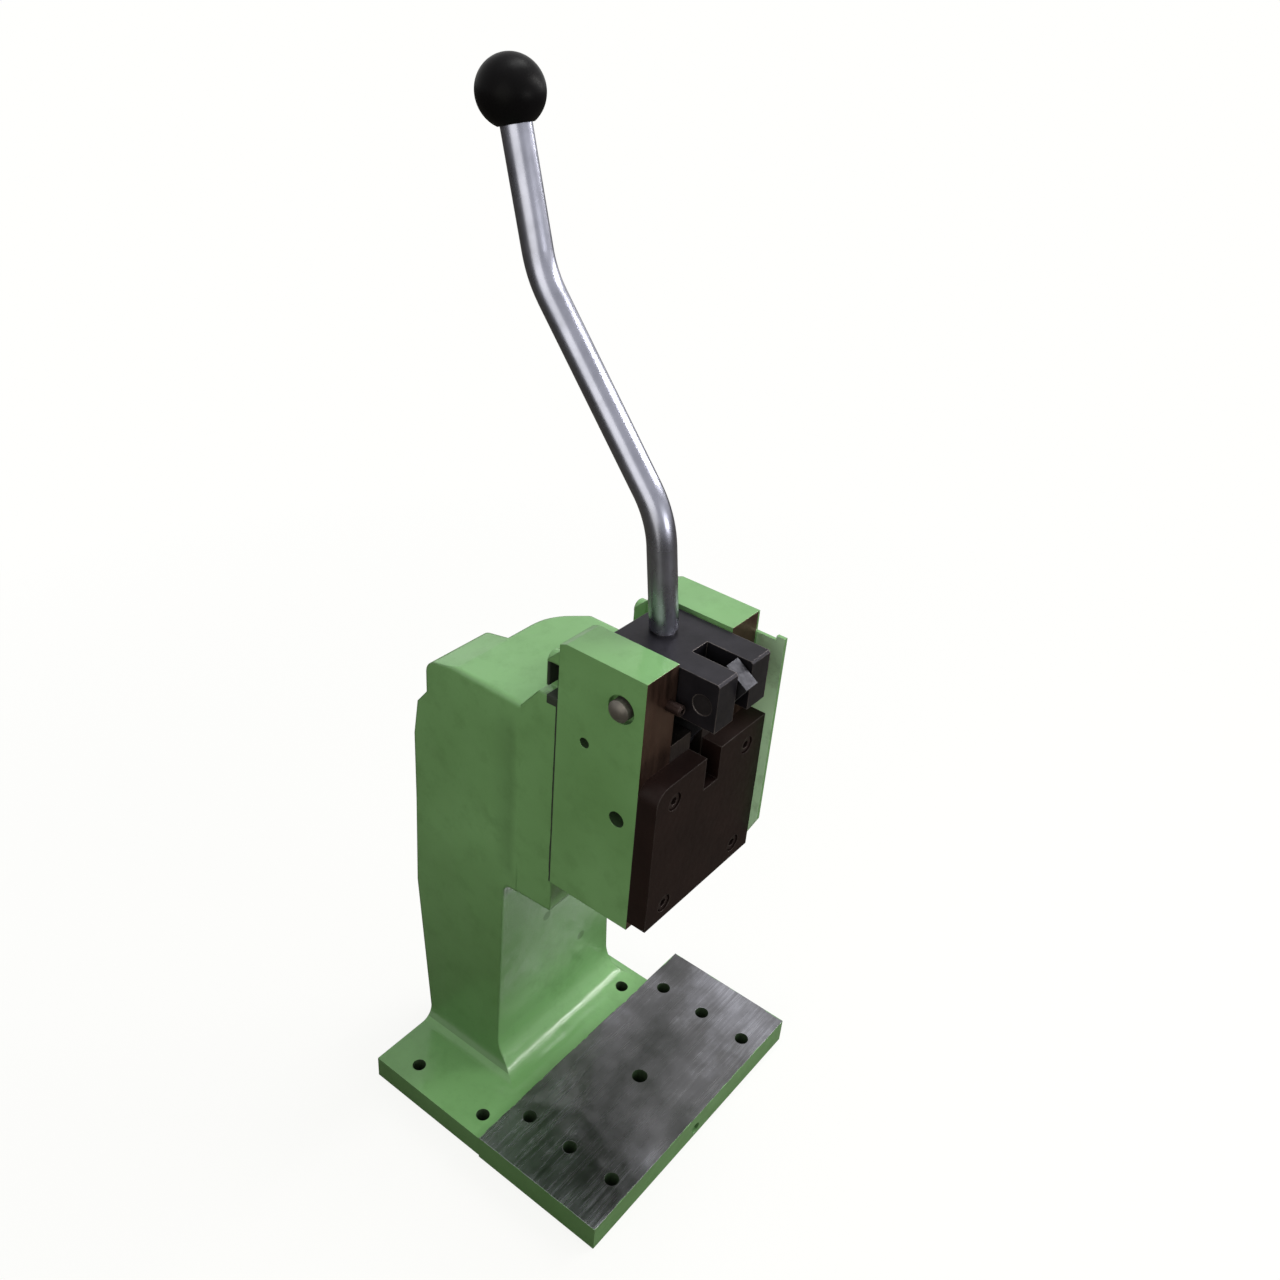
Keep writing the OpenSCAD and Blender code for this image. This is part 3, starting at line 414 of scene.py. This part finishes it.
def chrome(name):
    """Plated steel with a light haze."""
    s = Shader(name)
    haze = s.noise(60, 4, 0.6)
    colour = s.mix(s.ramp(haze, (0.4, 0.0), (0.8, 1.0)), (0.3, 0.305, 0.37), (0.23, 0.235, 0.285))
    rough = s.ramp(s.noise(40, 3, 0.6), (0.3, 0.25), (0.7, 0.32))
    return s.surface(colour, rough, 1.0, (), 0)


def plastic(name):
    """Hard black plastic with a soft sheen."""
    s = Shader(name)
    colour = s.mix(s.noise(70, 4), (0.0035, 0.0033, 0.0038), (0.007, 0.0065, 0.0072))
    rough = s.ramp(s.noise(120, 4), (0.3, 0.32), (0.75, 0.42))
    s.bsdf.inputs["Specular IOR Level"].default_value = 0.04
    return s.surface(colour, rough, 0.0, [(s.noise(180, 3), 0.05, 0.0006)], 0.001)


LOOKS = {
    "frame_casting": paint("casting_enamel", ground_top, casting_painted_shade, None, casting_stain_and_shade, casting_edges),
    "left_cheek": paint("cheek_enamel", bare_front, cheek_hole_shade),
    "side_plate": paint("plate_enamel", painted_light=inner_face_painted_light),
    "front_plate": dark_steel("plate_black", (0.009, 0.0036, 0.003), (0.014, 0.0062, 0.0052),
                              0.52, 0.2, 0.1),
    "front_plate_screws": dark_steel("screw_black", (0.02, 0.012, 0.012), (0.035, 0.022, 0.02), 0.4, 0.15),
    "lever_block": dark_steel("block_blued", (0.014, 0.013, 0.017), (0.028, 0.026, 0.033), 0.36, 0.6),
    "pivot_pin": dark_steel("pin_steel", (0.12, 0.11, 0.1), (0.2, 0.185, 0.17), 0.4, 0.5),
    "link_pin": dark_steel("crank_pin_steel", (0.02, 0.018, 0.02), (0.04, 0.036, 0.04), 0.4, 0.4),
    "link": bright_steel("link_steel", (0.055, 0.055, 0.063), 0.5),
    "ram": bright_steel("ram_steel", (0.12, 0.1, 0.093), 0.42),
    "cheek_dowels": dark_steel("dowel_grey", (0.05, 0.07, 0.045), (0.09, 0.11, 0.08), 0.5, 0.1, 0.2),
    "handle_rod": chrome("rod_chrome"),
    "knob": plastic("knob_black"),
}
SAME = {
    "right_cheek": "left_cheek",
    "lower_cheek_bolts": "front_plate_screws",
    "upper_cheek_bolts": "left_cheek",
    "side_plate_screws": "front_plate_screws",
    "pivot_lock_screw": "front_plate_screws",
    "anvil_clamp_screw": "front_plate_screws",
    "tool_clamp_screw": "front_plate_screws",
    "rod_set_screw": "front_plate_screws",
    "ram_pin": "ram",
}

for name, obj in nodes.items():
    mat = LOOKS[SAME.get(name, name)]
    obj.data.materials.clear()
    obj.data.materials.append(mat)

WHITE = (1, 1, 0.985, 1)

# Floor that reads white to the camera and keeps the contact shadow, which fades with distance
FLOOR_SIZE = 30
FLOOR_LOW = -0.0002
FLOOR_GLOW = 0.86
FLOOR_FADE = 1.2
FLOOR_SEEN = (0.9, 0.9, 0.89)
FLOOR_UNSEEN = (0.12, 0.11, 0.09)

bpy.ops.mesh.primitive_plane_add(size=FLOOR_SIZE, location=(0, 0, FLOOR_LOW))
floor = bpy.context.active_object
floor.name = "floor"
f = Shader("floor_white")
path = f.add("ShaderNodeLightPath")
seen_floor = path.outputs["Is Camera Ray"]
f.surface(f.mix(seen_floor, FLOOR_UNSEEN, FLOOR_SEEN), 0.8, 0.0, (), 0)
glow = f.add("ShaderNodeEmission", in_Color=WHITE, in_Strength=1.0)
mixer = f.add("ShaderNodeMixShader")
spot = f.xyz()
away = f.length(spot[0], spot[1])
shadowless = f.math("MULTIPLY_ADD", away, (1 - FLOOR_GLOW) / FLOOR_FADE, FLOOR_GLOW, clamp=True)
f.link(f.math("MULTIPLY", seen_floor, shadowless), mixer.inputs[0])
f.link(f.bsdf.outputs[0], mixer.inputs[1])
f.link(glow.outputs[0], mixer.inputs[2])
f.link(mixer.outputs[0], f.tree.nodes["Material Output"].inputs["Surface"])
floor.data.materials.append(f.mat)

# World: white for camera, glossy and transmission rays; a dim room, lighter above, for diffuse ones
ROOM_LOW = (0.04, 0.038, 0.03, 1)
ROOM_HIGH = (0.28, 0.28, 0.265, 1)
ROOM_HEIGHT = 0.9

world = bpy.data.worlds.new("studio")
bpy.context.scene.world = world
world.use_nodes = True
tree = world.node_tree
room = tree.nodes["Background"]
room.inputs["Strength"].default_value = 1.0
way = tree.nodes.new("ShaderNodeTexCoord")
parts = tree.nodes.new("ShaderNodeSeparateXYZ")
tree.links.new(way.outputs["Generated"], parts.inputs[0])
height = tree.nodes.new("ShaderNodeValToRGB")
for stop, (at, colour) in enumerate(((0.0, ROOM_LOW), (ROOM_HEIGHT, ROOM_HIGH))):
    height.color_ramp.elements[stop].position = at
    height.color_ramp.elements[stop].color = colour
tree.links.new(parts.outputs["Z"], height.inputs["Fac"])
tree.links.new(height.outputs["Color"], room.inputs["Color"])
light_path = tree.nodes.new("ShaderNodeLightPath")
white_for = light_path.outputs["Is Camera Ray"]
for ray in ("Is Glossy Ray", "Is Transmission Ray"):
    either = tree.nodes.new("ShaderNodeMath")
    either.operation = "MAXIMUM"
    tree.links.new(white_for, either.inputs[0])
    tree.links.new(light_path.outputs[ray], either.inputs[1])
    white_for = either.outputs[0]
seen = tree.nodes.new("ShaderNodeBackground")
seen.inputs["Color"].default_value = WHITE
world_mix = tree.nodes.new("ShaderNodeMixShader")
tree.links.new(white_for, world_mix.inputs[0])
tree.links.new(room.outputs[0], world_mix.inputs[1])
tree.links.new(seen.outputs[0], world_mix.inputs[2])
tree.links.new(world_mix.outputs[0], tree.nodes["World Output"].inputs["Surface"])


def lamp(name, at, target, size, power, colour):
    """Area lamp at a place in metres that faces a target, its first side level and along X."""
    data = bpy.data.lights.new(name, "AREA")
    data.shape = "RECTANGLE"
    data.size, data.size_y = size
    data.energy = power
    data.color = colour
    o = bpy.data.objects.new(name, data)
    bpy.context.scene.collection.objects.link(o)
    o.location = at
    back = (Vector(at) - Vector(target)).normalized()
    along = (Vector((1, 0, 0)) - back * back.x).normalized()
    o.rotation_euler = Matrix((along, back.cross(along), back)).transposed().to_euler()


# Lamps, in metres and watts
TUBE = (1.1, 0.12)
TUBE_WHITE = (1, 0.99, 0.96)
PRESS_MIDDLE = (0, 0, 0.2)
lamp("tube_near", (1.3, -0.5, 1.25), PRESS_MIDDLE, TUBE, 6, TUBE_WHITE)
lamp("tube_far", (1.2, -0.92, 1.5), PRESS_MIDDLE, TUBE, 10, TUBE_WHITE)
lamp("front", (0.25, -1.6, 0.75), (0, 0, 0.25), (0.9, 0.12), 6.5, TUBE_WHITE)
lamp("ceiling", (0.1, 0.4, 2.1), PRESS_MIDDLE, (1.6, 0.5), 3, (0.98, 0.99, 1))
lamp("overhead", (0.45, 0.1, 2), PRESS_MIDDLE, (1, 0.4), 15, (0.99, 1, 0.98))
lamp("left", (-0.95, -0.2, 0.75), (0, 0.05, 0.4), (0.9, 0.9), 4.2, (1, 0.98, 0.86))
